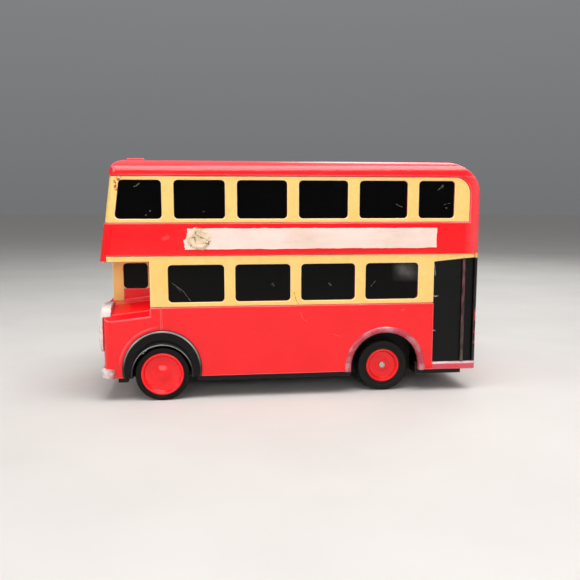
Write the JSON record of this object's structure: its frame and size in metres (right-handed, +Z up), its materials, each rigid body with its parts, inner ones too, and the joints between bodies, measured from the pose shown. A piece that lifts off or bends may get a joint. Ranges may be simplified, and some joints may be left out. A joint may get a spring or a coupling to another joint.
{
  "type": "toy bus",
  "caption": "Toy double-deck bus with a half cab, black windows, rolling wheels geared to a small motor and a roof slide switch.",
  "frame": {"origin": "on the ground, under the middle of the bus", "axes": "+X towards the front, +Y to the pavement side with the open platform, +Z up"},
  "size_m": [0.1155, 0.0436, 0.0724],
  "materials": {
    "red_plastic": "moulded, glossy",
    "arch_red": "moulded, worn gloss",
    "yellow_plastic": "moulded, glossy",
    "black_panes": "polished",
    "black_plastic": "moulded, satin",
    "paper_strip": "worn, bare",
    "pole_finish": "worn",
    "radiator_silver": "silver grey",
    "rubber": "matt",
    "steel": "bright",
    "magnet": "pressed",
    "brass": "stamped",
    "nylon": "moulded",
    "cell_sleeve": "sleeved",
    "board": "pressed board",
    "wire_red": "insulated",
    "wire_blue": "insulated",
    "wire_black": "insulated"
  },
  "bodies": {
    "bus_body": {"body_shell": "red_plastic", "front_end": "red_plastic", "rear_arch_trim_left": "arch_red", "rear_arch_trim_right": "arch_red", "cab_frame": "yellow_plastic", "upper_window_frame": "yellow_plastic", "lower_frame_left": "yellow_plastic", "lower_frame_right": "yellow_plastic", "cab_glazing": "black_panes", "upper_glazing": "black_panes", "lower_glazing_left": "black_panes", "lower_glazing_right": "black_panes", "rear_upper_glazing": "black_panes", "rear_lower_glazing": "black_panes", "platform_panel": "black_plastic", "mudguard_left": "black_plastic", "mudguard_right": "black_plastic", "chassis_base": "black_plastic", "battery_door": "black_plastic", "radiator_grille": "black_plastic", "side_label_left": "paper_strip", "side_label_right": "paper_strip", "grab_pole": "pole_finish", "radiator_shell": "radiator_silver", "front_bumper": "radiator_silver", "door_screw": "steel", "body_screws": "steel", "motor_can": "steel", "gear_pins": "steel", "motor_magnets": "magnet", "contact_positive": "brass", "contact_negative": "brass", "switch_contacts": "brass", "motor_end_cap": "nylon", "gearbox_plate_inner": "nylon", "gearbox_plate_outer": "nylon", "aa_cell": "cell_sleeve", "switch_board": "board", "wire_battery_switch": "wire_red", "wire_switch_motor": "wire_blue", "wire_battery_motor": "wire_black"},
    "rear_wheelset": {"rear_axle": "steel", "rear_hub_left": "red_plastic", "rear_hub_right": "red_plastic", "rear_tyre_left": "rubber", "rear_tyre_right": "rubber", "axle_gear": "nylon"},
    "gear_pair_two": {"gear_two": "nylon"},
    "gear_pair_one": {"gear_one": "nylon"},
    "motor_rotor": {"motor_armature": "magnet", "motor_shaft": "steel", "motor_pinion": "brass"},
    "front_wheelset": {"front_axle": "steel", "front_hub_left": "red_plastic", "front_hub_right": "red_plastic", "front_tyre_left": "black_plastic", "front_tyre_right": "black_plastic"},
    "roof_slider": {"switch_knob": "red_plastic", "switch_wiper": "brass"}
  },
  "joints": [
    {"name": "rear_axle_spin", "type": "hinge", "parent": "bus_body", "child": "rear_wheelset", "pos_m": [-0.0287, 0, 0.008], "axis": [0, 1, 0], "continuous": true},
    {"name": "front_axle_spin", "type": "hinge", "parent": "bus_body", "child": "front_wheelset", "pos_m": [0.0392, 0, 0.008], "axis": [0, 1, 0], "continuous": true},
    {"name": "gear_two_spin", "type": "hinge", "parent": "bus_body", "child": "gear_pair_two", "pos_m": [-0.03075, 0, 0.01364], "axis": [0, 1, 0], "continuous": true},
    {"name": "gear_one_spin", "type": "hinge", "parent": "bus_body", "child": "gear_pair_one", "pos_m": [-0.02755, 0, 0.01918], "axis": [0, 1, 0], "continuous": true},
    {"name": "motor_spin", "type": "hinge", "parent": "bus_body", "child": "motor_rotor", "pos_m": [-0.02988, 0, 0.02557], "axis": [0, 1, 0], "continuous": true},
    {"name": "roof_switch_slide", "type": "slide", "parent": "bus_body", "child": "roof_slider", "axis": [1, 0, 0], "range_m": [-0.003, 0]}
  ],
  "couplings": [
    {"joint": "gear_two_spin", "follows": "rear_axle_spin", "ratio": -2},
    {"joint": "gear_one_spin", "follows": "rear_axle_spin", "ratio": 4.4},
    {"joint": "motor_spin", "follows": "rear_axle_spin", "ratio": -14.3}
  ]
}
